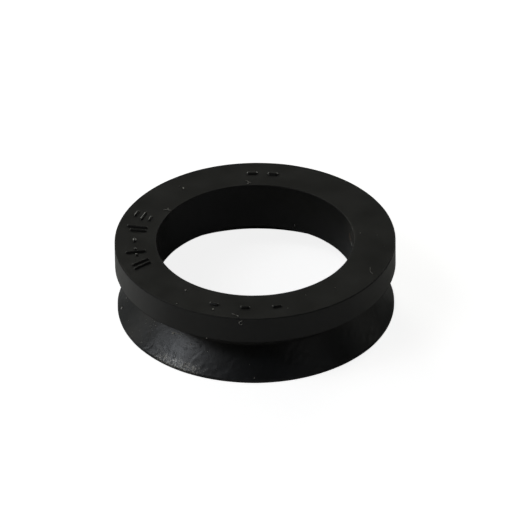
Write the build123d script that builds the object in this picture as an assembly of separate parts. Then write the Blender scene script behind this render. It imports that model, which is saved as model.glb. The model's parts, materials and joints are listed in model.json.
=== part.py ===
from build123d import *

import os
from math import acos, atan2, cos, tan

# A V-ring: one moulded rubber ring that is stretched onto a shaft, turns with it, and seals with a
# thin cone-shaped lip against a flat face square to the shaft.
#
# The ring turns about +Z and stands on its lip, whose edge lies in the plane z = 0. Its flat back
# face is on top. Between body and lip runs the V-groove, open to the outside all the way round, and
# the lip swings about the hinge of rubber that is left between the root of the groove and the bore.
# The whole ring is one closed section turned once round the axis. Sizes are in millimetres.

# Body
bore_diameter = 18.3  # bore before it is stretched onto its shaft
section_height = 3.85  # body from bore to outside
body_width = 4.6  # length of the bore
rim_width = 2.6  # cylindrical outside of the body
free_width = 7.25  # back face to lip edge with nothing pressing on the lip

# Hinge and lip
hinge_wall = 1.2  # rubber between the bore and the root of the groove
lip_root_thickness = 1.0  # measured square to the cone under the lip
lip_edge_thickness = 0.3  # height of the lip's outer edge
lip_setback = 0.15  # the lip's edge stands this far inside the body's outside
lip_land = 0.2  # flat ring of the lip that touches the face it seals on

# Rounded edges; the lip's edges and the front of the bore come sharp from the mould
back_bore_rounding = 0.1
back_rim_rounding = 0.25
front_rim_rounding = 0.2
groove_root_rounding = 0.35

SHARP = 0.0
WALL_SHARE = 0.45  # most of the shorter wall beside a corner that its rounding may take up


def groove_root(bore_radius, bore_end, land_radius):
    """Corner of the V-groove: hinge_wall out from the bore, lip_root_thickness above the lip's cone."""
    cone_slope = atan2(bore_end, land_radius - bore_radius)
    root_radius = bore_radius + hinge_wall
    cone_height = bore_end - hinge_wall * tan(cone_slope)
    return root_radius, cone_height + lip_root_thickness / cos(cone_slope)


def section_corners():
    """Corners of the half section as ((radius, height), rounding), from the back of the bore outwards."""
    bore_radius = bore_diameter / 2
    rim_radius = bore_radius + section_height
    lip_radius = rim_radius - lip_setback
    land_radius = lip_radius - lip_land
    bore_end = free_width - body_width
    return [
        ((bore_radius, free_width), back_bore_rounding),
        ((rim_radius, free_width), back_rim_rounding),
        ((rim_radius, free_width - rim_width), front_rim_rounding),
        (groove_root(bore_radius, bore_end, land_radius), groove_root_rounding),
        ((lip_radius, lip_edge_thickness), SHARP),
        ((lip_radius, 0.0), SHARP),
        ((land_radius, 0.0), SHARP),
        ((bore_radius, bore_end), SHARP),
    ]


def fitted_rounding(before, corner, after, rounding):
    """The rounding asked for, or the largest that the two walls beside the corner have room for."""
    to_before = Vector(*before) - Vector(*corner)
    to_after = Vector(*after) - Vector(*corner)
    cosine = to_before.normalized().dot(to_after.normalized())
    room = WALL_SHARE * min(to_before.length, to_after.length)
    return min(rounding, room * tan(acos(cosine) / 2))


def v_ring():
    """The section turned once round the shaft's axis."""
    corners = section_corners()
    points = [point for point, rounding in corners]
    roundings = [
        fitted_rounding(points[i - 1], point, points[(i + 1) % len(points)], rounding)
        for i, (point, rounding) in enumerate(corners)
    ]
    with BuildPart() as ring:
        with BuildSketch(Plane.XZ):
            with BuildLine():
                FilletPolyline(*points, radius=roundings, close=True)
            make_face()
        revolve(axis=Axis.Z)
    return ring.part


os.makedirs("parts", exist_ok=True)
export_step(v_ring(), "parts/v_ring.step")
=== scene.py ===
"""A black rubber V-ring seal: the moulded ring, its raised mould marks, the dust on it, and a plain studio.

The file is laid out as a Blender add-on and is run as a script. Every length is in metres, in the frame of
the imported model: the ring turns about +Z and stands on its lip's edge at z = 0, with its back face on top.
Azimuths are counted from +X towards +Y.
"""

import json
from math import atan2, ceil, cos, pi, radians, sin, tan, tau

import bmesh
import bpy
import numpy as np
from bpy.props import FloatProperty, FloatVectorProperty, IntProperty, PointerProperty, StringProperty
from bpy.types import Operator, Panel, PropertyGroup
from mathutils import Matrix, Vector


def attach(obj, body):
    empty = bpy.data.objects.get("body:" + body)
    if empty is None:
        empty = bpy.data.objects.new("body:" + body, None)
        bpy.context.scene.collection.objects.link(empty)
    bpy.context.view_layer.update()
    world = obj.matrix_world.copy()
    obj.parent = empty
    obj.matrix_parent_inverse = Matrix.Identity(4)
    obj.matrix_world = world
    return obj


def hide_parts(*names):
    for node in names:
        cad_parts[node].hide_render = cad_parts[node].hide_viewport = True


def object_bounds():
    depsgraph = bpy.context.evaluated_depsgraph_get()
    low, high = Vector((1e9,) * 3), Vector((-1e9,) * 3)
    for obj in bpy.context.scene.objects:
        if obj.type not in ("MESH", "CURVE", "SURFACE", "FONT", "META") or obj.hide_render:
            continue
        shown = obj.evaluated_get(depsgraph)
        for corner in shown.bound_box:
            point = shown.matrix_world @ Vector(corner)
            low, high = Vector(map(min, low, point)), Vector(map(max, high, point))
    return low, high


bl_info = {
    "name": "V-ring seal",
    "version": (1, 0, 0),
    "blender": (4, 5, 0),
    "location": "View3D > Sidebar > V-ring",
    "description": "Builds a moulded rubber V-ring, its mould marks, the dust on it and a studio",
    "category": "Object",
}

MM = 0.001
RING_NODE = "v_ring"
RING_BODY = "root"
WELD = 1e-7  # points closer than this are one point

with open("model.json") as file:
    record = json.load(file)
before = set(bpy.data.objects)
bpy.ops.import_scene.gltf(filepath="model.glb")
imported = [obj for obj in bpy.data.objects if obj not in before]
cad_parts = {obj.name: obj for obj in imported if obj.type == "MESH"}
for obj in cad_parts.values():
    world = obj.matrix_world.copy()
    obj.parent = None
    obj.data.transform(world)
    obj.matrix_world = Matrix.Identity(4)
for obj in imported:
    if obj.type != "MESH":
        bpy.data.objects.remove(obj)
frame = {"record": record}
CAD_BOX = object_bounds()


def mount(name):
    """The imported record's mount of that name."""
    return next(m for m in frame["record"]["mounts"] if m["name"] == name)


BORE_RADIUS = mount("shaft_bore")["dims"]["r_mm"]


# ---------------------------------------------------------------- sizes and colours


def length(name, description, millimetres):
    """A length that a user may change, given in millimetres and kept in metres."""
    return FloatProperty(
        name=name, description=description, default=millimetres * MM, min=0.0, precision=5, unit="LENGTH"
    )


def angle(name, description, degrees):
    """An angle that a user may change, given in degrees."""
    return FloatProperty(name=name, description=description, default=radians(degrees), subtype="ANGLE")


def colour(name, description, hex_code):
    """A colour that a user may change, kept as the sRGB hex code that it was matched with."""
    return StringProperty(name=name, description=description, default=hex_code)


def amount(name, description, value):
    """A number without a unit that a user may change."""
    return FloatProperty(name=name, description=description, default=value, precision=4)


def count(name, description, value):
    """A whole number that a user may change."""
    return IntProperty(name=name, description=description, default=value, min=0)


class RingSizes(PropertyGroup):
    """The ring's section, and how far the moulding strays from it."""

    bore_radius: length("Bore radius", "Relaxed bore, from the packed mount", BORE_RADIUS)
    rim_radius: length("Rim radius", "Outside of the body, from the packed box", CAD_BOX[1].x / MM)
    free_width: length("Free width", "Back face to lip edge, from the packed box", CAD_BOX[1].z / MM)
    body_width: length("Body width", "Length of the bore", 4.6)
    rim_width: length("Rim width", "Cylindrical outside of the body", 2.6)
    hinge_wall: length("Hinge wall", "Rubber between the bore and the root of the groove", 1.2)
    lip_root_thickness: length("Lip root thickness", "Lip at its root, square to its cone", 1.0)
    lip_edge_thickness: length("Lip edge thickness", "Height of the lip's outer edge", 0.3)
    lip_setback: length("Lip setback", "How far the lip's edge stands inside the rim", 0.15)
    lip_land: length("Lip land", "Flat ring of the lip that touches the face it seals on", 0.2)
    back_bore_rounding: length("Back bore rounding", "Edge of the back face at the bore", 0.06)
    back_rim_rounding: length("Back rim rounding", "Edge of the back face at the rim", 0.1)
    front_rim_rounding: length("Front rim rounding", "Edge of the rim at the groove", 0.12)
    groove_root_rounding: length("Groove root rounding", "Root of the V-groove", 0.35)
    sharp_rounding: length("Sharp edge rounding", "Edges that leave the mould sharp", 0.04)
    lip_flutter: length("Lip flutter", "How far the thin lip lifts off a flat face where it waves", 0.03)
    lip_crumple: length("Lip crumple", "Height of the fine wrinkles in the lip's skin", 0.006)
    mould_swell: length("Mould swell", "Height of the slow waves in the moulded skin", 0.004)
    handled_azimuth: angle("Handled azimuth", "Where the lip has been rubbed and creased", 229.0)
    handled_width: angle("Handled width", "Half the width of that patch", 17.0)
    smudge_azimuth: angle("Smudge azimuth", "Where dust is smudged on the bore", 10.0)
    segments: count("Segments", "Steps around the ring", 560)


class MarkSizes(PropertyGroup):
    """The raised marks that the mould leaves on the back face."""

    band_radius: length("Band radius", "Middle of the band that the marks stand in", 11.15)
    stroke_width: length("Stroke width", "Width of a raised stroke at its foot", 0.24)
    stroke_relief: length("Stroke relief", "Height of a stroke above the back face", 0.12)
    stroke_step: length("Stroke step", "Longest step along a stroke", 0.06)


class DustSizes(PropertyGroup):
    """Dust and lint that lie on the ring."""

    speck: length("Speck", "Typical size of a dust speck", 0.1)
    fibre_width: length("Fibre width", "Thickness of a lint fibre", 0.04)
    # Crumbs: pale dust on the lip that also paints glints in its highlight.
    crumb_and_glint: length("Crumb", "Size of the fine crumbs caught on the lip", 0.045)
    crumbs_and_glints: count("Crumbs", "Fine crumbs caught on the lip", 60)


class RubberLook(PropertyGroup):
    """Colours and finish of the rubber and of what lies on it."""

    carbon_black: colour("Carbon black", "Body colour of the rubber", "#262624")
    # Blue-grey bloom on the lip: wax, and also a painted blue-grey sheen.
    bloom_and_sheen: colour("Bloom", "Where wax has come to the surface of the lip", "#2c2f33")
    # Pale dust colour, which also paints the brightest part of the lip's highlight.
    dust_and_highlight_grey: colour("Dust grey", "Fine dust that is rubbed into the rubber", "#b9b7ae")
    lint: colour("Lint", "Pale lint and flakes that lie on the rubber", "#e6e4dc")
    lint_shade: colour("Lint shade", "The darker places in lint and flakes", "#a3a19a")
    rust: colour("Rust", "Stain from a rusty shaft", "#b89a80")
    rust_shade: colour("Rust shade", "The darker places in the stain", "#7a5f4c")
    roughness: amount("Roughness", "Roughness of the moulded skin", 0.35)
    edge_roughness: amount("Edge roughness", "Roughness of the rubbed edges", 0.75)
    grain: length("Grain", "Size of the moulded skin's grain", 0.16)
    grain_depth: length("Grain depth", "Depth of that grain", 0.003)
    crease: length("Crease", "Size of the creases in the handled patch", 1.3)
    crease_depth: length("Crease depth", "Depth of those creases", 0.075)
    polish: amount("Polish", "Roughness of the handled patch", 0.2)
    grit: length("Grit", "Size of the fine dust grains rubbed into the lip", 0.18)
    smudge: amount("Smudge", "How much of the smudged rubber the dust hides", 0.12)


class StageLook(PropertyGroup):
    """Camera, floor and lights."""

    elevation: angle("Elevation", "Camera above the horizon", 34.0)
    roll: angle("Roll", "Turn of the picture", 0.8)
    distance: length("Distance", "Camera to the point that it looks at", 800.0)
    lens: amount("Lens", "Focal length in millimetres on a 36 mm sensor", 587.0)
    aim: FloatVectorProperty(
        name="Aim",
        description="Point that the camera looks at",
        default=(0.8 * MM, 2.1 * MM, 3.1 * MM),
        unit="LENGTH",
    )
    floor: colour("Floor", "Pale floor", "#f4f4f2")
    floor_glow: amount("Floor glow", "How much the pale floor shines by itself", 0.86)
    table: colour("Table", "Pale ground that throws light back onto the ring", "#f0f0ee")
    key_core: amount("Key core", "Radiance of the small softbox in the middle of the key light", 2.4)
    key_top: amount("Key top", "Radiance of the softbox above the key light", 0.8)
    key_low: amount("Key low", "Radiance of the softbox under the key light", 0.6)
    key_edge: amount("Key edge", "Radiance of the softbox in front of the key light", 0.9)
    key_side: amount("Key side", "Radiance of the softbox behind the key light", 0.65)
    front_high: amount("Front high", "Radiance of the high softbox in front on the left", 0.55)
    left_middle: amount("Left middle", "Radiance of the softbox on the left, under the key light", 1.6)
    left_low: amount("Left low", "Radiance of the low softbox on the left, towards the back", 0.9)
    back_low: amount("Back low light", "Radiance of the low softbox behind", 6.4)
    back_top: amount("Back top light", "Radiance of the high softbox behind on the left", 1.4)
    back_right: amount("Back right light", "Radiance of the low softbox behind on the right", 4.5)
    low_front: amount("Low front card", "Radiance of the low card in front on the left", 2.0)
    right: amount("Right card", "Radiance of the weak card on the right", 0.25)
    right_low: amount("Low right card", "Radiance of the low card on the right", 0.65)
    front_right: amount("Front right card", "Radiance of the weak card in front on the right", 0.3)
    table_glow: amount("Table glow", "Radiance of the lit patch of table on the left", 0.1)


# ---------------------------------------------------------------- surfaces


GUARD = 0.02 * MM  # from a rounding to the first point on the wall beside it
GUARD_SHARE = 0.25  # most of a short wall that the guard may take up
ARC_STEP = radians(12)  # longest turn between two points of a rounding


def rounded_outline(corners, roundings, steps):
    """Closed outline through the corners, with a touching arc of its rounding at each.

    The arc at a corner meets both walls rounding / tan(half the corner's angle) away from it. Its points are
    centre + rounding * (cos a, sin a), with a running evenly from one wall's normal to the other's. The wall
    after each corner is cut into runs of its step, with one more point close to each arc that keeps the
    wall's shading flat up to the rounding.
    """
    arcs = []
    neighbours = zip(np.roll(corners, 1, 0), corners, np.roll(corners, -1, 0), roundings)
    for before, corner, after, rounding in neighbours:
        to_before = (before - corner) / np.linalg.norm(before - corner)
        to_after = (after - corner) / np.linalg.norm(after - corner)
        half = np.arccos(to_before @ to_after) / 2
        middle = (to_before + to_after) / np.linalg.norm(to_before + to_after)
        centre = corner + middle * rounding / sin(half)
        start = corner + to_before * rounding / tan(half) - centre
        end = corner + to_after * rounding / tan(half) - centre
        start_angle = atan2(start[1], start[0])
        turn = (atan2(end[1], end[0]) - start_angle + pi) % tau - pi
        angles = start_angle + turn * np.linspace(0.0, 1.0, max(3, ceil(abs(turn) / ARC_STEP)) + 1)
        arcs.append(centre + rounding * np.stack([np.cos(angles), np.sin(angles)], 1))
    runs = []
    for arc, following, step in zip(arcs, arcs[1:] + arcs[:1], steps):
        wall = following[0] - arc[-1]
        span = np.linalg.norm(wall)
        guard = min(GUARD / span, GUARD_SHARE)
        shares = np.concatenate([[guard], np.arange(1, ceil(span / step)) * step / span, [1.0 - guard]])
        shares = np.unique(np.clip(shares, guard, 1.0 - guard))
        runs += [arc, arc[-1] + wall * shares[:, None]]
    return np.concatenate(runs)


def outward_normals(outline):
    """Unit normals of a closed outline with its solid on the right: each point's chord, turned left."""
    chord = np.roll(outline, -1, 0) - np.roll(outline, 1, 0)
    normal = np.stack([-chord[:, 1], chord[:, 0]], 1)
    return normal / np.linalg.norm(normal, axis=1)[:, None]


def turned(radius, height, azimuth):
    """Surface of revolution: (radius cos azimuth, radius sin azimuth, height), for arrays on one grid."""
    return np.stack(np.broadcast_arrays(radius * np.cos(azimuth), radius * np.sin(azimuth), height), -1)


def waves(azimuth, along, counts, pitches, seed):
    """Sum of sin(count * azimuth + along / pitch + phase) over the counts and pitches, scaled to about 1."""
    phases = np.random.default_rng(seed).uniform(0.0, tau, len(counts))
    total = sum(np.sin(n * azimuth + along / p + f) for n, p, f in zip(counts, pitches, phases))
    return total / len(counts) ** 0.5


def grid_quads(rows, columns, wrap_rows, wrap_columns):
    """Quads of a grid of rows * columns points; a wrapped side joins its last line to its first."""
    i = np.arange(rows if wrap_rows else rows - 1)[:, None]
    j = np.arange(columns if wrap_columns else columns - 1)[None, :]
    down, right = (i + 1) % rows, (j + 1) % columns
    corners = (i * columns + j, i * columns + right, down * columns + right, down * columns + j)
    return np.stack(np.broadcast_arrays(*corners), -1).reshape(-1, 4)


def new_piece(name, points, quads, material, attributes=None, weld=False):
    """A smooth object that rides on the ring, from points and quads, with named numbers at its points."""
    mesh = bpy.data.meshes.new(name)
    mesh.vertices.add(len(points))
    mesh.vertices.foreach_set("co", np.asarray(points, np.float32).ravel())
    mesh.loops.add(quads.size)
    mesh.loops.foreach_set("vertex_index", quads.ravel().astype(np.int32))
    mesh.polygons.add(len(quads))
    mesh.polygons.foreach_set("loop_start", np.arange(0, quads.size, 4, dtype=np.int32))
    mesh.polygons.foreach_set("use_smooth", np.ones(len(quads), bool))
    mesh.update(calc_edges=True)
    for key, values in (attributes or {}).items():
        numbers = mesh.attributes.new(key, "FLOAT", "POINT")
        numbers.data.foreach_set("value", values.astype(np.float32).ravel())
    if weld:
        shell = bmesh.new()
        shell.from_mesh(mesh)
        bmesh.ops.remove_doubles(shell, verts=shell.verts, dist=WELD)
        bmesh.ops.dissolve_degenerate(shell, edges=shell.edges, dist=WELD)
        bmesh.ops.recalc_face_normals(shell, faces=shell.faces)
        shell.to_mesh(mesh)
        shell.free()
    mesh.validate()
    mesh.materials.append(material)
    piece = bpy.data.objects.new(name, mesh)
    bpy.context.scene.collection.objects.link(piece)
    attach(piece, RING_BODY)
    return piece


# ---------------------------------------------------------------- the ring


PLAIN_STEP, SEEN_STEP, LIP_STEP = 0.3 * MM, 0.25 * MM, 0.1 * MM  # longest steps along the section's walls


def section(sizes):
    """Corners of the ring's half section, from the back of the bore outwards.

    Each is its radius, height and rounding, and the longest step on the wall that follows.
    """
    bore, rim, back = sizes.bore_radius, sizes.rim_radius, sizes.free_width
    lip = rim - sizes.lip_setback
    land = lip - sizes.lip_land
    bore_end = back - sizes.body_width
    slope = atan2(bore_end, land - bore)
    root_height = bore_end - sizes.hinge_wall * tan(slope) + sizes.lip_root_thickness / cos(slope)
    corners = [
        (bore, back, sizes.back_bore_rounding, SEEN_STEP),
        (rim, back, sizes.back_rim_rounding, SEEN_STEP),
        (rim, back - sizes.rim_width, sizes.front_rim_rounding, PLAIN_STEP),
        (bore + sizes.hinge_wall, root_height, sizes.groove_root_rounding, LIP_STEP),
        (lip, sizes.lip_edge_thickness, sizes.sharp_rounding, LIP_STEP),
        (lip, 0.0, sizes.sharp_rounding, PLAIN_STEP),
        (land, 0.0, sizes.sharp_rounding, PLAIN_STEP),
        (bore, bore_end, sizes.sharp_rounding, PLAIN_STEP),
    ]
    return np.array(corners)


LIP_ROOT, LIP_EDGE = 3, 4  # the two corners of the section that the lip's upper skin runs between
ON_SKIN = 0.12 * MM  # a point this near the line between those corners is on the lip's upper skin


def section_outline(sizes):
    """The section's closed outline, its outward normals and each point's share of the lip's upper skin.

    The share runs from 0 at the groove's root to 1 at the lip's edge on that skin, and is 0 elsewhere.
    """
    table = section(sizes)
    outline = rounded_outline(table[:, :2], table[:, 2], table[:, 3])
    root, edge = table[LIP_ROOT, :2], table[LIP_EDGE, :2]
    skin = edge - root
    along = (outline - root) @ skin / (skin @ skin)
    off = np.abs((outline - root) @ np.array([root[1] - edge[1], skin[0]])) / np.linalg.norm(skin)
    share = np.where(off < ON_SKIN, np.clip(along, 0.0, 1.0), 0.0)
    return outline, outward_normals(outline), share


def bell(value, middle, half_width, power):
    """exp(-|(value - middle) / half_width| ** power): 1 in the middle, steeper for a higher power."""
    return np.exp(-(np.abs((value - middle) / half_width) ** power))


WAVE_SEED, CRUMPLE_SEED, PATCH_SEED, FLUTTER_SEED = 4, 11, 17, 9


def skin_waves(azimuth, along):
    """Slow waves of the moulded skin, fine wrinkles of the lip, and how strong those are, 0 to 1.2."""
    slow_pitches = (2.1e-3, -1.3e-3, 0.9e-3, -0.7e-3, 0.5e-3)
    slow = waves(azimuth, along, (3, 7, 12, 19, 26), slow_pitches, seed=WAVE_SEED)
    fine_counts = (31, 44, 57, 68, 83, 97, 111, 29, 74, 52)
    fine_pitches = (
        0.42e-3, -0.31e-3, 0.25e-3, -0.2e-3, 0.18e-3, -0.22e-3, 0.3e-3, -0.16e-3, 0.14e-3, 0.12e-3,
    )
    fine = waves(azimuth, along, fine_counts, fine_pitches, seed=CRUMPLE_SEED)
    patches = waves(azimuth, along, (5, 9, 14), (1.1e-3, -0.9e-3, 0.7e-3), seed=PATCH_SEED)
    return slow, fine, np.clip(0.5 + 0.5 * patches, 0.0, 1.2)


CHALK_HIGHLIGHT_LEAD, CHALK_HIGHLIGHT_SLANT = radians(7.2), radians(9.0)  # turn and lean of the pale dust streak that also paints the lip's highlight
CHALK_HIGHLIGHT_WIDTH = 0.98  # its half width over the handled patch's
CHALK_HIGHLIGHT_MIDDLE, CHALK_HIGHLIGHT_REACH = 0.95, 0.25  # its middle and half width, as shares of the lip
SMUDGE_WIDTH, SMUDGE_DROP, SMUDGE_REACH = radians(13.0), 0.9 * MM, 1.1 * MM
ON_BORE = 0.08 * MM  # a point this near the bore's radius is on its wall
EDGE_TURN = radians(2.0)  # where the outline turns more than this at a point, it is on a rounding


def wear(sizes, outline, lip, azimuth):
    """The numbers from 0 to 1 that the rubber's material reads at each point.

    lip_share runs from 0 at the groove's root to 1 at the lip's edge. handled is a bell of the azimuth times
    0.3 + 0.9 * lip share, on the lip alone. chalk_and_highlight, a streak of pale dust whose colour also
    paints the brightest part of the lip's highlight, is a bell of the azimuth times one of the lip share,
    with a middle that leans back towards the lip's edge. smudged is a bell of the azimuth times one of the
    height, on the bore's wall alone. trimmed is 1 on the rounded edges. Every bell has the power 4.
    """
    strength = np.clip(0.3 + 0.9 * lip, 0.0, 1.0)
    handled = bell(azimuth, sizes.handled_azimuth, sizes.handled_width, 4) * strength * (lip > 0)
    slant = sizes.handled_azimuth + CHALK_HIGHLIGHT_LEAD - CHALK_HIGHLIGHT_SLANT * (lip - 0.7)
    chalk_and_highlight = bell(azimuth, slant, sizes.handled_width * CHALK_HIGHLIGHT_WIDTH, 4)
    chalk_and_highlight = chalk_and_highlight * bell(lip, CHALK_HIGHLIGHT_MIDDLE, CHALK_HIGHLIGHT_REACH, 4)
    on_bore = np.abs(outline[:, :1] - sizes.bore_radius) < ON_BORE
    smudged = bell((azimuth - sizes.smudge_azimuth + pi) % tau - pi, 0.0, SMUDGE_WIDTH, 4)
    smudged = smudged * bell(outline[:, 1:], sizes.free_width - SMUDGE_DROP, SMUDGE_REACH, 4) * on_bore
    chord = np.roll(outline, -1, 0) - outline
    heading = np.unwrap(np.arctan2(chord[:, 1], chord[:, 0]))
    turn = (heading - np.roll(heading, 1) + pi) % tau - pi
    trimmed = np.abs(turn) > EDGE_TURN
    return {
        "lip_share": lip + 0 * azimuth,
        "handled": handled,
        "chalk_and_highlight": chalk_and_highlight,
        "smudged": smudged,
        "trimmed": trimmed[:, None] + 0 * azimuth,
    }


def ring_surface(sizes):
    """Grid of points for the ring, and the numbers that its material reads at each of them.

    The section is turned round the axis. Its points are pushed along their normals by slow waves, as moulded
    rubber never comes out quite flat, and on the lip by finer ones too, times
    sqrt(4 * skin share * (1.05 - skin share)). The lip is lifted by flutter * share ** 2 * (1 + waves) / 2,
    where share runs from 0 at the hinge to 1 at the lip's edge.
    """
    outline, normals, skin = section_outline(sizes)
    run = np.linalg.norm(np.roll(outline, -1, 0) - outline, axis=1)
    along = np.concatenate([[0.0], np.cumsum(run)[:-1]])[:, None]
    azimuth = (np.arange(sizes.segments) * tau / sizes.segments)[None, :]
    slow, fine, patchy = skin_waves(azimuth, along)
    crumple = sizes.lip_crumple * fine * patchy * (skin * (1.05 - skin) * 4)[:, None] ** 0.5
    push = sizes.mould_swell * slow + crumple
    radius = outline[:, :1] + normals[:, :1] * push
    height = outline[:, 1:] + normals[:, 1:] * push
    table = section(sizes)
    hinge, root_height = table[LIP_ROOT, :2]
    share = np.clip((radius - hinge) / (table[LIP_EDGE, 0] - hinge), 0.0, 1.0)
    share = share * (outline[:, 1:] < root_height)
    lift = (1.0 + waves(azimuth, 0.0, (2, 3, 5, 9), (1, 1, 1, 1), seed=FLUTTER_SEED) / 2) / 2
    height = height + sizes.lip_flutter * share**2 * np.clip(lift, 0.0, None)
    radius, height = np.minimum(radius, sizes.rim_radius), np.clip(height, 0.0, sizes.free_width)
    return turned(radius, height, azimuth), wear(sizes, outline, skin[:, None], azimuth)


class VRING_OT_ring(Operator):
    """Builds the moulded ring"""

    bl_idname = "vring.ring"
    bl_label = "Ring"

    def execute(self, context):
        points, numbers = ring_surface(context.scene.vring_sizes)
        rows, columns = points.shape[:2]
        quads = grid_quads(rows, columns, wrap_rows=True, wrap_columns=True)[:, ::-1]
        material = rubber(context.scene.vring_look)
        ring = new_piece("moulded_ring", points.reshape(-1, 3), quads, material, numbers)
        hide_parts(RING_NODE)
        return {"FINISHED"}


# ---------------------------------------------------------------- raised marks


# Each mark: azimuth in degrees, then its strokes. A stroke is x0, y0, x1, y1 in millimetres on the back face,
# with x along the band towards higher azimuths and y outwards from the middle of the band, and its width over
# the typical one. The marks are plain bars, dots and pads, and spell nothing.
THREE_DASHES = [
    (-0.45, 0.75, 0.15, 0.75, 1.0),
    (-0.55, 0.0, 0.55, 0.0, 1.0),
    (-0.15, -0.75, 0.45, -0.75, 1.0),
]
TWO_BARS = [(-0.3, -0.85, -0.3, 0.85, 1.0), (0.3, -0.85, 0.3, 0.5, 1.0)]
DOT = [(-0.1, 0.0, 0.1, 0.0, 1.6)]
BAR_AND_DOTS = [(0.0, -0.85, 0.0, 0.85, 1.0), (-0.5, 0.0, -0.45, 0.0, 1.3), (0.45, 0.0, 0.5, 0.0, 1.3)]
SLANTED_BARS = [(-0.55, -0.8, -0.05, 0.8, 1.0), (0.05, -0.8, 0.55, 0.8, 1.0)]
WIDE_PAD = [(-0.3, 0.0, 0.3, 0.0, 2.0)]
PAD = [(-0.3, 0.0, 0.3, 0.0, 1.4)]
MARKS = {
    "raised_marks_left": [
        (158.0, THREE_DASHES),
        (169.0, TWO_BARS),
        (179.0, DOT),
        (189.0, BAR_AND_DOTS),
        (199.5, SLANTED_BARS),
    ],
    "raised_marks_rear": [(azimuth, WIDE_PAD) for azimuth in (91.0, 81.0)],
    "raised_marks_front": [(azimuth, PAD) for azimuth in (-110.0, -95.0, -80.0)],
}
END_POINTS = 7  # points round a bar's end
TOP_POINTS = 11  # points across a bar's top
FOOT = 0.02 * MM  # how far a bar's foot is sunk into the rubber


def raised_bars(strokes, azimuths, sizes, back):
    """Round-ended bars pressed up from the back face, one for each stroke.

    A bar's section is half an ellipse, across = half width * cos t and up = relief * sin t, closed below by a
    foot that is sunk into the rubber. Its spine runs half a width past both ends, where the section shrinks
    by sqrt(1 - (distance past the end / half width) ** 2), so the bar closes. The flat bar is then bent round
    the band: azimuth = middle + x / band radius, radius = band radius + y.
    """
    start, end = strokes[:, 0:2] * MM, strokes[:, 2:4] * MM
    half = sizes.stroke_width * strokes[:, 4] / 2
    run = np.linalg.norm(end - start, axis=1)
    heading = (end - start) / run[:, None]
    across = np.stack([-heading[:, 1], heading[:, 0]], 1)
    middle = np.linspace(0.0, 1.0, max(3, ceil(run.max() / sizes.stroke_step)))[1:-1]
    cap = np.linspace(0.0, pi / 2, END_POINTS)
    share = np.concatenate([np.zeros(END_POINTS), middle, np.ones(END_POINTS)])
    past = np.concatenate([-np.cos(cap), 0 * middle, np.sin(cap)])
    scale = np.sqrt(np.clip(1.0 - past**2, 0.0, 1.0))
    t = np.linspace(0.0, pi, TOP_POINTS)
    side = np.concatenate([[1.0], np.cos(t), [-1.0]])
    rise = np.concatenate([[-FOOT], sizes.stroke_relief * np.sin(t), [-FOOT]])
    spine = start[:, None] + heading[:, None] * (share * run[:, None] + past * half[:, None])[..., None]
    reach = scale[None, :, None] * side * half[:, None, None]
    flat = spine[:, :, None] + across[:, None, None] * reach[..., None]
    azimuth = azimuths[:, None, None] + flat[..., 0] / sizes.band_radius
    return turned(sizes.band_radius + flat[..., 1], back + scale[:, None] * rise, azimuth)


def tiled_quads(pieces, rows, columns, wrap_columns):
    """Quads of as many like grids as there are pieces, whose points follow one another."""
    quads = grid_quads(rows, columns, wrap_rows=False, wrap_columns=wrap_columns)
    return (quads + np.arange(pieces)[:, None, None] * rows * columns).reshape(-1, 4)


class VRING_OT_marks(Operator):
    """Builds the raised marks on the back face"""

    bl_idname = "vring.marks"
    bl_label = "Raised marks"

    def execute(self, context):
        sizes, back = context.scene.vring_marks, context.scene.vring_sizes.free_width
        material = rubber(context.scene.vring_look)
        for name, marks in MARKS.items():
            strokes = np.array([stroke for middle, bars in marks for stroke in bars])
            azimuths = np.radians([middle for middle, bars in marks for stroke in bars])
            points = raised_bars(strokes, azimuths, sizes, back)
            quads = tiled_quads(*points.shape[:3], wrap_columns=True)
            piece = new_piece(name, points.reshape(-1, 3), quads, material, weld=True)
        return {"FINISHED"}


# ---------------------------------------------------------------- dust and lint


def on_skin(sizes, azimuth, radius, height):
    """Points of the ring's skin by the given places, and the skin's normals there.

    Each is the nearest point of the section's outline, slid along the skin to stand beside the place.
    """
    outline, normals, share = section_outline(sizes)
    table = np.stack([radius.ravel(), height.ravel()], 1)
    nearest = np.linalg.norm(table[:, None] - outline[None], axis=2).argmin(1).reshape(radius.shape)
    spot, normal = outline[nearest], normals[nearest]
    along = np.stack([normal[..., 1], -normal[..., 0]], -1)
    slide = (radius - spot[..., 0]) * along[..., 0] + (height - spot[..., 1]) * along[..., 1]
    spot = spot + along * slide[..., None]
    return turned(spot[..., 0], spot[..., 1], azimuth), turned(normal[..., 0], normal[..., 1], azimuth)


SPECKS = [  # azimuth in degrees, radius, height, size over the typical one
    (127.5, 11.5, 7.25, 0.9),
    (127.0, 11.0, 7.25, 1.8),
    (66.0, 9.15, 3.2, 1.4),
    (5.0, 9.8, 7.25, 0.9),
    (2.5, 11.3, 7.25, 0.5),
    (-6.5, 12.0, 7.25, 0.4),
    (-48.0, 10.9, 7.25, 0.9),
    (-63.5, 10.3, 7.25, 0.7),
    (-75.5, 11.7, 7.25, 0.7),
    (-91.0, 12.7, 0.5, 1.0),
    (-97.5, 12.6, 7.25, 1.3),
    (-109.0, 12.0, 7.25, 1.8),
    (-110.5, 13.0, 4.6, 1.4),
    # a pale speck on the lip that paints a glint
    (-122.5, 11.2, 2.1, 1.6),
    (-125.0, 12.6, 7.25, 1.0),
    (-128.0, 10.4, 7.25, 1.5),
    # a pale speck on the lip that paints a glint
    (-134.0, 11.0, 2.3, 2.2),
    (-174.0, 12.5, 0.7, 2.0),
    (-178.0, 12.0, 1.2, 1.2),
]
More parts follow.
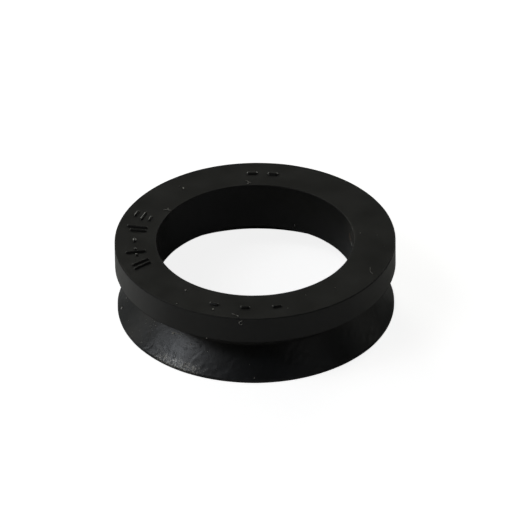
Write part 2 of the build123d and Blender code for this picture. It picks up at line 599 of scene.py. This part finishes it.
FIBRES = {  # width over the typical one, then azimuth in degrees, radius and height along the fibre
    "forked_lint": (1.0, [(146.8, 9.22, 7.25), (147.3, 9.45, 7.25), (147.9, 9.7, 7.25), (148.6, 9.95, 7.25)]),
    "forked_lint_branch": (1.0, [(147.4, 9.5, 7.25), (146.6, 9.65, 7.25), (145.8, 9.72, 7.25)]),
    "rear_lint": (1.0, [(91.8, 9.5, 7.25), (93.0, 9.62, 7.25), (93.9, 9.85, 7.25), (94.8, 9.9, 7.25)]),
    "rear_lint_branch": (1.0, [(93.0, 9.62, 7.25), (93.4, 9.45, 7.25), (94.2, 9.35, 7.25)]),
    "edge_lint": (0.7, [(-100.4, 12.28, 7.25), (-99.0, 12.4, 7.25), (-97.8, 12.55, 7.25)]),
    "curled_rim_lint": (
        1.2,
        [
            (-95.4, 13.0, 7.05), (-96.2, 13.0, 6.98), (-96.9, 13.0, 6.8), (-96.2, 13.0, 6.6),
            (-95.4, 13.0, 6.75),
        ],
    ),
    "curved_lint": (
        0.6,
        [
            (-24.2, 11.55, 7.25), (-25.7, 11.72, 7.25), (-27.2, 11.85, 7.25), (-28.3, 12.1, 7.25),
            (-28.9, 12.35, 7.25),
        ],
    ),
    "bore_lint": (0.7, [(13.6, 9.15, 5.5), (12.4, 9.15, 5.4), (11.4, 9.15, 5.35), (9.8, 9.15, 5.3)]),
    # a pale fibre on the lip that paints a bright glint streak
    "lip_glint_fibre": (
        1.3,
        [(-136.0, 11.0, 2.3), (-133.0, 10.88, 2.4), (-130.5, 10.85, 2.45), (-128.5, 10.8, 2.5)],
    ),
}
STAINS = [  # azimuth in degrees, radius, height, size over a speck's
    (16.5, 9.15, 6.0, 1.3),
    (15.5, 9.15, 5.8, 1.8),
    (14.5, 9.15, 5.6, 1.7),
]
SPECK_FLATNESS, STAIN_FLATNESS = 0.6, 0.25  # height over width
CRUMB_GLINT_SHARES = 0.15, 0.97  # where on the lip's skin the crumbs lie, from the groove's root to the lip's edge; they are pale dust that also paints glints in the lip's highlight
CRUMB_GLINT_AZIMUTH, CRUMB_GLINT_SPREAD = 222.0, 16.0  # degrees
CRUMB_GLINT_SIZES = 0.6, 1.4  # smallest and largest over the typical one
SPECK_SEED, STAIN_SEED, CRUMB_GLINT_PLACE_SEED, CRUMB_GLINT_SEED = 21, 23, 25, 27


def lumps(spots, normals, sizes, flatness, seed):
    """Lumpy little balls pressed onto the skin, one for each spot.

    Each is a ball of radius size / 2 * (1 + 0.18 sin(2 longitude + a) sin(latitude)
    + 0.12 sin(3 longitude + b) sin(latitude) ** 2). It is stretched one way by 0.7 to 1.4, shortened the
    other by as much and pressed flat along the skin's normal, its middle a sixth of its height above it.
    """
    draw = np.random.default_rng(seed)
    first, second, turn = (draw.uniform(0.0, tau, (len(spots), 1, 1)) for _ in range(3))
    stretch = draw.uniform(0.7, 1.4, (len(spots), 1, 1))
    latitude = np.linspace(0.0, pi, 7)[None, :, None]
    longitude = np.linspace(0.0, tau, 10, endpoint=False)[None, None, :]
    bulge = 1 + 0.18 * np.sin(2 * longitude + first) * np.sin(latitude)
    bulge = bulge + 0.12 * np.sin(3 * longitude + second) * np.sin(latitude) ** 2
    size = (sizes / 2)[:, None, None] * bulge
    x = size * np.sin(latitude) * np.cos(longitude) * stretch
    y = size * np.sin(latitude) * np.sin(longitude) / stretch
    up = size * np.cos(latitude) * flatness + (sizes * flatness / 6)[:, None, None]
    x, y = x * np.cos(turn) - y * np.sin(turn), x * np.sin(turn) + y * np.cos(turn)
    east, north = skin_axes(normals)
    sides = x[..., None] * east[:, None, None] + y[..., None] * north[:, None, None]
    return spots[:, None, None] + sides + up[..., None] * normals[:, None, None]


def skin_axes(normals):
    """Two unit vectors square to each normal and to each other."""
    other = np.where(np.abs(normals[..., 2:]) > 0.9, [1.0, 0.0, 0.0], [0.0, 0.0, 1.0])
    east = np.cross(other, normals)
    east = east / np.linalg.norm(east, axis=-1, keepdims=True)
    return east, np.cross(normals, east)


def fibre(sizes, width, azimuth, radius, height):
    """A hair-thin fibre that lies on the skin.

    Its path is a smooth curve through the given places, laid on the skin half a width above it, and its round
    section has the radius width / 2 * sqrt(1 - (2 share - 1) ** 4), so it tapers to a point at both ends.
    """
    knots = np.linspace(0.0, 1.0, len(azimuth))
    share = np.linspace(0.0, 1.0, 33)
    a, r, z = (smooth_curve(knots, np.asarray(values, float), share) for values in (azimuth, radius, height))
    spot, normal = on_skin(sizes, a, r, z)
    thickness = width / 2 * np.sqrt(np.clip(1 - (2 * share - 1) ** 4, 0.0, None))
    spot = spot + normal * width / 2
    heading = np.gradient(spot, axis=0)
    heading = heading / np.linalg.norm(heading, axis=1)[:, None]
    across = np.cross(heading, normal)
    t = np.linspace(0.0, tau, 7, endpoint=False)[None, :, None]
    round_section = across[:, None] * np.cos(t) + normal[:, None] * np.sin(t)
    return spot[:, None] + round_section * thickness[:, None, None]


def smooth_curve(knots, values, share):
    """Catmull-Rom curve through the values: cubics whose slope at each knot is that of its two neighbours."""
    slope = np.gradient(values, knots)
    i = np.clip(np.searchsorted(knots, share, side="right") - 1, 0, len(knots) - 2)
    gap = knots[i + 1] - knots[i]
    t = (share - knots[i]) / gap
    stay = (2 * t**3 - 3 * t**2 + 1) * values[i] + (t**3 - 2 * t**2 + t) * gap * slope[i]
    return stay + (3 * t**2 - 2 * t**3) * values[i + 1] + (t**3 - t**2) * gap * slope[i + 1]


def crumb_and_glint_places(sizes, dust):
    """Random places on the lip's upper skin for the crumbs, pale dust that also paints glints in the
    highlight, in the same columns as SPECKS.
    """
    draw = np.random.default_rng(CRUMB_GLINT_PLACE_SEED)
    root, edge = section(sizes)[LIP_ROOT, :2], section(sizes)[LIP_EDGE, :2]
    share = draw.uniform(*CRUMB_GLINT_SHARES, dust.crumbs_and_glints)[:, None]
    place = (root + (edge - root) * share) / MM
    azimuth = draw.normal(CRUMB_GLINT_AZIMUTH, CRUMB_GLINT_SPREAD, dust.crumbs_and_glints)
    return np.column_stack([azimuth, place, draw.uniform(*CRUMB_GLINT_SIZES, dust.crumbs_and_glints)])


class VRING_OT_dust(Operator):
    """Builds the dust, lint and stain that lie on the ring, and the pale pieces that paint glints on the lip
    """

    bl_idname = "vring.dust"
    bl_label = "Dust and lint"

    def execute(self, context):
        scene = context.scene
        sizes, dust = scene.vring_sizes, scene.vring_dust
        grey, rust = dust_and_glint(scene.vring_look), rusty(scene.vring_look)

        def scatter(name, table, size, flatness, material, seed):
            azimuth, radius, height = np.radians(table[:, 0]), table[:, 1] * MM, table[:, 2] * MM
            points = lumps(*on_skin(sizes, azimuth, radius, height), size * table[:, 3], flatness, seed)
            quads = tiled_quads(*points.shape[:3], wrap_columns=True)
            new_piece(name, points.reshape(-1, 3), quads, material, weld=True)

        # Dust specks, two of which are pale specks that paint glints on the lip.
        scatter("dust_and_glint_specks", np.array(SPECKS), dust.speck, SPECK_FLATNESS, grey, SPECK_SEED)
        scatter("rust_stain", np.array(STAINS), dust.speck, STAIN_FLATNESS, rust, STAIN_SEED)
        # Crumbs: pale dust that also paints glints in the lip's highlight.
        scatter("lip_crumbs_and_glints", crumb_and_glint_places(sizes, dust), dust.crumb_and_glint, SPECK_FLATNESS, grey, CRUMB_GLINT_SEED)
        for name, (share, places) in FIBRES.items():
            azimuth, radius, height = np.array(places).T
            points = fibre(sizes, dust.fibre_width * share, np.radians(azimuth), radius * MM, height * MM)
            quads = grid_quads(*points.shape[:2], wrap_rows=False, wrap_columns=True)
            new_piece(name, points.reshape(-1, 3), quads, grey, weld=True)
        return {"FINISHED"}


# ---------------------------------------------------------------- materials


# Pale dust shows where grit + CHALK_HIGHLIGHT_GAIN * chalk_and_highlight > CHALK_HIGHLIGHT_START, and is full
# at
# CHALK_HIGHLIGHT_SOFTNESS above that; there its pale colour also paints the brightest part of the lip's
# highlight.
CHALK_HIGHLIGHT_GAIN, CHALK_HIGHLIGHT_START, CHALK_HIGHLIGHT_SOFTNESS = 0.42, 0.88, 0.12
DULL_SPREAD = 0.03  # how far the roughness of the skin strays either way
WRINKLE_DEPTH = 4  # over the grain's


def linear(hex_code):
    """An sRGB hex colour as linear RGBA."""
    values = [int(hex_code[i : i + 2], 16) / 255 for i in (1, 3, 5)]
    return tuple(c / 12.92 if c <= 0.04045 else ((c + 0.055) / 1.055) ** 2.4 for c in values) + (1.0,)


def per(size):
    """Texture scale on Object coordinates whose features are about size metres across."""
    return 1.0 / size


def add_node(tree, kind, inputs, **settings):
    """A node of that kind, with its settings, and its inputs set to values or linked from sockets."""
    node = tree.nodes.new(kind)
    for key, value in settings.items():
        setattr(node, key, value)
    for key, value in inputs.items():
        if isinstance(value, bpy.types.NodeSocket):
            tree.links.new(value, node.inputs[key])
        else:
            node.inputs[key].default_value = value
    return node


def new_material(name):
    """An empty node material and its tree."""
    material = bpy.data.materials.new(name)
    material.use_nodes = True
    material.node_tree.nodes.clear()
    return material, material.node_tree


def rubber(look):
    """Nitrile rubber, black with carbon, as it leaves a smooth steel mould.

    An even satin skin with a fine grain and slightly duller patches. The lip has a faint blue-grey waxy film
    whose colour also paints a blue-grey sheen, and fine wrinkles. Its handled patch is creased and polished,
    with a pale streak of dust rubbed in whose colour also paints the brightest part of the highlight there. A
    thin film of dust is smudged on the bore, and the rubbed edges are dull.
    """
    made = bpy.data.materials.get("moulded_nitrile_rubber")
    if made:
        return made
    material, tree = new_material("moulded_nitrile_rubber")
    place = add_node(tree, "ShaderNodeTexCoord", {}).outputs["Object"]
    lip = add_node(tree, "ShaderNodeAttribute", {}, attribute_name="lip_share").outputs["Fac"]
    handled = add_node(tree, "ShaderNodeAttribute", {}, attribute_name="handled").outputs["Fac"]
    grain = add_node(tree, "ShaderNodeTexNoise", {"Vector": place, "Scale": per(look.grain), "Detail": 3.0})
    patches = add_node(tree, "ShaderNodeTexNoise", {"Vector": place, "Scale": per(2.5 * MM), "Detail": 5.0})
    wrinkles = add_node(
        tree,
        "ShaderNodeTexNoise",
        {"Vector": place, "Scale": per(0.7 * MM), "Detail": 4.0, "Distortion": 1.2},
    )
    on_lip = add_node(tree, "ShaderNodeMapRange", {"Value": lip, "From Min": 0.05, "From Max": 0.5})
    # Blue-grey wax bloom in patches on the lip, which also paints a blue-grey sheen there.
    bloom_and_sheen = add_node(
        tree,
        "ShaderNodeMath",
        {0: on_lip.outputs["Result"], 1: patches.outputs["Fac"]},
        operation="MULTIPLY",
    )
    tint = add_node(
        tree,
        "ShaderNodeMix",
        {"Factor": bloom_and_sheen.outputs["Value"], "A": linear(look.carbon_black), "B": linear(look.bloom_and_sheen)},
        data_type="RGBA",
    )
    # Streak of pale dust that also paints the brightest part of the lip's highlight.
    chalk_and_highlight = add_node(tree, "ShaderNodeAttribute", {}, attribute_name="chalk_and_highlight").outputs["Fac"]
    grit = add_node(
        tree,
        "ShaderNodeTexNoise",
        {"Vector": place, "Scale": per(look.grit), "Detail": 4.0, "Roughness": 0.7},
    )
    reach = add_node(
        tree, "ShaderNodeMath", {0: chalk_and_highlight, 1: CHALK_HIGHLIGHT_GAIN, 2: -CHALK_HIGHLIGHT_START}, operation="MULTIPLY_ADD"
    )
    above = add_node(
        tree, "ShaderNodeMath", {0: grit.outputs["Fac"], 1: reach.outputs["Value"]}, operation="ADD"
    )
    chalk_and_highlight_cover = add_node(
        tree,
        "ShaderNodeMapRange",
        {"Value": above.outputs["Value"], "From Min": 0.0, "From Max": CHALK_HIGHLIGHT_SOFTNESS},
    )
    dusted_and_highlighted = add_node(
        tree,
        "ShaderNodeMix",
        {"Factor": chalk_and_highlight_cover.outputs["Result"], "A": tint.outputs["Result"], "B": linear(look.dust_and_highlight_grey)},
        data_type="RGBA",
    )
    smudged = add_node(tree, "ShaderNodeAttribute", {}, attribute_name="smudged").outputs["Fac"]
    film = add_node(tree, "ShaderNodeMath", {0: smudged, 1: patches.outputs["Fac"]}, operation="MULTIPLY")
    thin_film = add_node(
        tree, "ShaderNodeMath", {0: film.outputs["Value"], 1: look.smudge}, operation="MULTIPLY"
    )
    smudge = add_node(
        tree,
        "ShaderNodeMix",
        {"Factor": thin_film.outputs["Value"], "A": dusted_and_highlighted.outputs["Result"], "B": linear(look.dust_and_highlight_grey)},
        data_type="RGBA",
    )
    dull = add_node(
        tree,
        "ShaderNodeMapRange",
        {
            "Value": patches.outputs["Fac"],
            "From Min": 0.3,
            "From Max": 0.7,
            "To Min": look.roughness - DULL_SPREAD,
            "To Max": look.roughness + DULL_SPREAD,
        },
    )
    skin = add_node(
        tree,
        "ShaderNodeBump",
        {"Height": grain.outputs["Fac"], "Strength": 1.0, "Distance": look.grain_depth},
    )
    wrinkled = add_node(
        tree,
        "ShaderNodeBump",
        {
            "Height": wrinkles.outputs["Fac"],
            "Strength": on_lip.outputs["Result"],
            "Distance": look.grain_depth * WRINKLE_DEPTH,
            "Normal": skin.outputs["Normal"],
        },
    )
    creases = add_node(
        tree,
        "ShaderNodeTexNoise",
        {"Vector": place, "Scale": per(look.crease), "Detail": 4.0, "Roughness": 0.5, "Distortion": 1.0},
        noise_type="RIDGED_MULTIFRACTAL",
    )
    creased = add_node(
        tree,
        "ShaderNodeBump",
        {
            "Height": creases.outputs["Fac"],
            "Strength": handled,
            "Distance": look.crease_depth,
            "Normal": wrinkled.outputs["Normal"],
        },
    )
    polished = add_node(
        tree,
        "ShaderNodeMix",
        {"Factor": handled, "A": dull.outputs["Result"], "B": look.polish},
        data_type="FLOAT",
    )
    trimmed = add_node(tree, "ShaderNodeAttribute", {}, attribute_name="trimmed").outputs["Fac"]
    rubbed = add_node(
        tree,
        "ShaderNodeMix",
        {"Factor": trimmed, "A": polished.outputs["Result"], "B": look.edge_roughness},
        data_type="FLOAT",
    )
    shader = add_node(
        tree,
        "ShaderNodeBsdfPrincipled",
        {
            "Base Color": smudge.outputs["Result"],
            "Roughness": rubbed.outputs["Result"],
            "IOR": 1.5,
            "Specular IOR Level": 0.5,
            "Normal": creased.outputs["Normal"],
        },
    )
    add_node(tree, "ShaderNodeOutputMaterial", {"Surface": shader.outputs["BSDF"]})
    return material


def dust_and_glint(look):
    """Household dust, cotton lint and skin flakes: pale and matt, a little uneven in tone.
    It also colours the pale specks, crumbs and fibre that paint glints on the lip.
    """
    material, tree = new_material("household_dust_and_glints")
    place = add_node(tree, "ShaderNodeTexCoord", {}).outputs["Object"]
    uneven = add_node(tree, "ShaderNodeTexNoise", {"Vector": place, "Scale": per(0.3 * MM), "Detail": 2.0})
    tone = add_node(
        tree,
        "ShaderNodeMix",
        {"Factor": uneven.outputs["Fac"], "A": linear(look.lint_shade), "B": linear(look.lint)},
        data_type="RGBA",
    )
    shader = add_node(
        tree,
        "ShaderNodeBsdfPrincipled",
        {"Base Color": tone.outputs["Result"], "Roughness": 0.9, "Specular IOR Level": 0.3},
    )
    add_node(tree, "ShaderNodeOutputMaterial", {"Surface": shader.outputs["BSDF"]})
    return material


def rusty(look):
    """Rust from a steel shaft, rubbed into the rubber: matt orange-brown that darkens in places."""
    material, tree = new_material("rubbed_rust")
    place = add_node(tree, "ShaderNodeTexCoord", {}).outputs["Object"]
    uneven = add_node(tree, "ShaderNodeTexNoise", {"Vector": place, "Scale": per(0.1 * MM), "Detail": 2.0})
    tone = add_node(
        tree,
        "ShaderNodeMix",
        {"Factor": uneven.outputs["Fac"], "A": linear(look.rust_shade), "B": linear(look.rust)},
        data_type="RGBA",
    )
    shader = add_node(
        tree,
        "ShaderNodeBsdfPrincipled",
        {"Base Color": tone.outputs["Result"], "Roughness": 0.85, "Specular IOR Level": 0.3},
    )
    add_node(tree, "ShaderNodeOutputMaterial", {"Surface": shader.outputs["BSDF"]})
    return material


def matt_paint(name, hex_code, glow=0.0):
    """Matt paint on a smooth board: no gloss at all, so it shows only soft shadow; a glow keeps it pale."""
    material, tree = new_material(name)
    shader = add_node(
        tree,
        "ShaderNodeBsdfPrincipled",
        {
            "Base Color": linear(hex_code),
            "Roughness": 1.0,
            "Specular IOR Level": 0.0,
            "Emission Color": (1.0, 1.0, 1.0, 1.0),
            "Emission Strength": glow,
        },
    )
    add_node(tree, "ShaderNodeOutputMaterial", {"Surface": shader.outputs["BSDF"]})
    return material


# ---------------------------------------------------------------- the stage


def direction(azimuth, elevation):
    """Unit vector from the ring towards that azimuth and elevation."""
    return Vector((cos(azimuth) * cos(elevation), sin(azimuth) * cos(elevation), sin(elevation)))


LIGHT_DISTANCE = 1.0
BOARD_REACH = 3.0  # half the width of the stage's boards
TABLE_DROP = 0.02 * MM  # the board that throws light back lies this far under the floor
GLOW_AZIMUTH, GLOW_AWAY = radians(190.0), 22.0 * MM  # middle of the lit patch of table, as seen from the ring
GLOW_DEPTH, GLOW_WIDTH, GLOW_RISE = 12.0 * MM, 16.0 * MM, 0.01 * MM
SENSOR_WIDTH = 36.0  # millimetres, as Blender counts it
# Each softbox: the stage value that holds its radiance, its azimuth and elevation, its width and height as
# seen from the ring, all in degrees, and its tone.
SOFTBOXES = [
    ("key_core", 191.0, 39.0, 12.0, 12.0, "#f4f9ff"),
    ("key_top", 188.0, 52.0, 24.0, 14.0, "#f8faff"),
    ("key_low", 202.0, 33.0, 14.0, 12.0, "#f2f8ff"),
    ("key_edge", 204.0, 44.0, 20.0, 20.0, "#f8faff"),
    ("key_side", 172.0, 38.0, 20.0, 20.0, "#f2f8ff"),
    ("front_high", 215.0, 56.0, 24.0, 16.0, "#f8faff"),
    ("left_middle", 180.0, 24.0, 16.0, 12.0, "#f8fbff"),
    ("left_low", 158.0, 14.0, 20.0, 10.0, "#fffdf6"),
    ("back_low", 112.0, 20.0, 18.0, 14.0, "#fefff6"),
    ("back_top", 145.0, 30.0, 18.0, 14.0, "#fefff4"),
    ("back_right", 68.0, 17.0, 20.0, 14.0, "#fefff6"),
    ("low_front", 205.0, 12.0, 24.0, 12.0, "#fffbf4"),
    ("right", 8.0, 16.0, 30.0, 20.0, "#fffff8"),
    ("right_low", 15.0, 5.0, 30.0, 8.0, "#fffff6"),
    ("front_right", -42.0, 30.0, 30.0, 24.0, "#ffffff"),
]


def soft_light(name, width, height, radiance, tone, matrix):
    """A rectangular area light whose power is radiance * pi * its area; the camera does not see it."""
    light = bpy.data.lights.new(name, "AREA")
    light.shape, light.size, light.size_y = "RECTANGLE", width, height
    light.energy = radiance * pi * width * height
    light.color = linear(tone)[:3]
    lamp = bpy.data.objects.new(name, light)
    lamp.matrix_world = matrix
    lamp.visible_camera = False
    bpy.context.scene.collection.objects.link(lamp)
    return lamp


def softbox(name, azimuth, elevation, width, height, radiance, tone):
    """A softbox that faces the ring from afar and is width by height degrees wide as seen from there."""
    towards = direction(radians(azimuth), radians(elevation))
    turn = towards.to_track_quat("Z", "Y").to_matrix().to_4x4()
    across, up = (2 * LIGHT_DISTANCE * tan(radians(size) / 2) for size in (width, height))
    return soft_light(name, across, up, radiance, tone, Matrix.Translation(towards * LIGHT_DISTANCE) @ turn)


def lit_table(radiance):
    """A pale glow that lies on the table beside the ring, where the key light falls on it."""
    place = direction(GLOW_AZIMUTH, 0.0) * GLOW_AWAY + Vector((0.0, 0.0, GLOW_RISE))
    turn = Matrix.Rotation(GLOW_AZIMUTH, 4, "Z") @ Matrix.Rotation(pi, 4, "X")
    matrix = Matrix.Translation(place) @ turn
    return soft_light("lit_table", GLOW_DEPTH, GLOW_WIDTH, radiance, "#ffffff", matrix)


def plane(name, height, material):
    """A wide level board of the stage at that height."""
    corners = [(x * BOARD_REACH, y * BOARD_REACH, height) for x, y in ((-1, -1), (1, -1), (1, 1), (-1, 1))]
    mesh = bpy.data.meshes.new(name)
    mesh.from_pydata(corners, [], [(0, 1, 2, 3)])
    mesh.materials.append(material)
    board = bpy.data.objects.new(name, mesh)
    bpy.context.scene.collection.objects.link(board)
    return board


def aimed_camera(stage):
    """The camera in front, looking along +Y and down by the elevation, turned by the roll."""
    data = bpy.data.cameras.new("camera")
    data.lens, data.sensor_width = stage.lens, SENSOR_WIDTH
    data.clip_start, data.clip_end = 0.05, 20.0
    camera = bpy.data.objects.new("camera", data)
    back = direction(-pi / 2, stage.elevation)
    turn = back.to_track_quat("Z", "Y").to_matrix().to_4x4() @ Matrix.Rotation(-stage.roll, 4, "Z")
    camera.matrix_world = Matrix.Translation(Vector(stage.aim) + back * stage.distance) @ turn
    bpy.context.scene.collection.objects.link(camera)
    bpy.context.scene.camera = camera
    return camera


class VRING_OT_stage(Operator):
    """Sets up the pale floor, the soft lights and the camera"""

    bl_idname = "vring.stage"
    bl_label = "Stage"

    def execute(self, context):
        stage = context.scene.vring_stage
        floor = plane("floor", 0.0, matt_paint("matt_white_paint", stage.floor, stage.floor_glow))
        floor.visible_diffuse = floor.visible_glossy = floor.visible_shadow = False
        table = plane("table", -TABLE_DROP, matt_paint("matt_grey_paint", stage.table))
        table.visible_camera = False
        for name, azimuth, elevation, width, height, tone in SOFTBOXES:
            softbox(name, azimuth, elevation, width, height, getattr(stage, name), tone)
        lit_table(stage.table_glow)
        world = bpy.data.worlds.new("room")
        world.use_nodes = True
        world.node_tree.nodes.clear()
        room = add_node(world.node_tree, "ShaderNodeBackground", {"Color": (1, 1, 1, 1), "Strength": 1.0})
        add_node(world.node_tree, "ShaderNodeOutputWorld", {"Surface": room.outputs["Background"]})
        world.cycles_visibility.diffuse = world.cycles_visibility.glossy = False
        context.scene.world = world
        context.scene.view_settings.view_transform = "Standard"
        aimed_camera(stage)
        return {"FINISHED"}


# ---------------------------------------------------------------- add-on


class VRING_PT_panel(Panel):
    """Lists what the add-on builds"""

    bl_idname = "VRING_PT_panel"
    bl_label = "V-ring seal"
    bl_space_type = "VIEW_3D"
    bl_region_type = "UI"
    bl_category = "V-ring"

    def draw(self, context):
        for operator in OPERATORS:
            self.layout.operator(operator.bl_idname)


OPERATORS = (VRING_OT_ring, VRING_OT_marks, VRING_OT_dust, VRING_OT_stage)
GROUPS = {
    "vring_sizes": RingSizes,
    "vring_marks": MarkSizes,
    "vring_dust": DustSizes,
    "vring_look": RubberLook,
    "vring_stage": StageLook,
}


def register():
    for cls in (*GROUPS.values(), *OPERATORS, VRING_PT_panel):
        bpy.utils.register_class(cls)
    for name, group in GROUPS.items():
        setattr(bpy.types.Scene, name, PointerProperty(type=group))


def unregister():
    for name in GROUPS:
        delattr(bpy.types.Scene, name)
    for cls in (VRING_PT_panel, *OPERATORS, *GROUPS.values()):
        bpy.utils.unregister_class(cls)


def main():
    """Builds everything in order."""
    register()
    for operator in OPERATORS:
        group, call = operator.bl_idname.split(".")
        getattr(getattr(bpy.ops, group), call)()


if __name__ == "__main__":
    main()
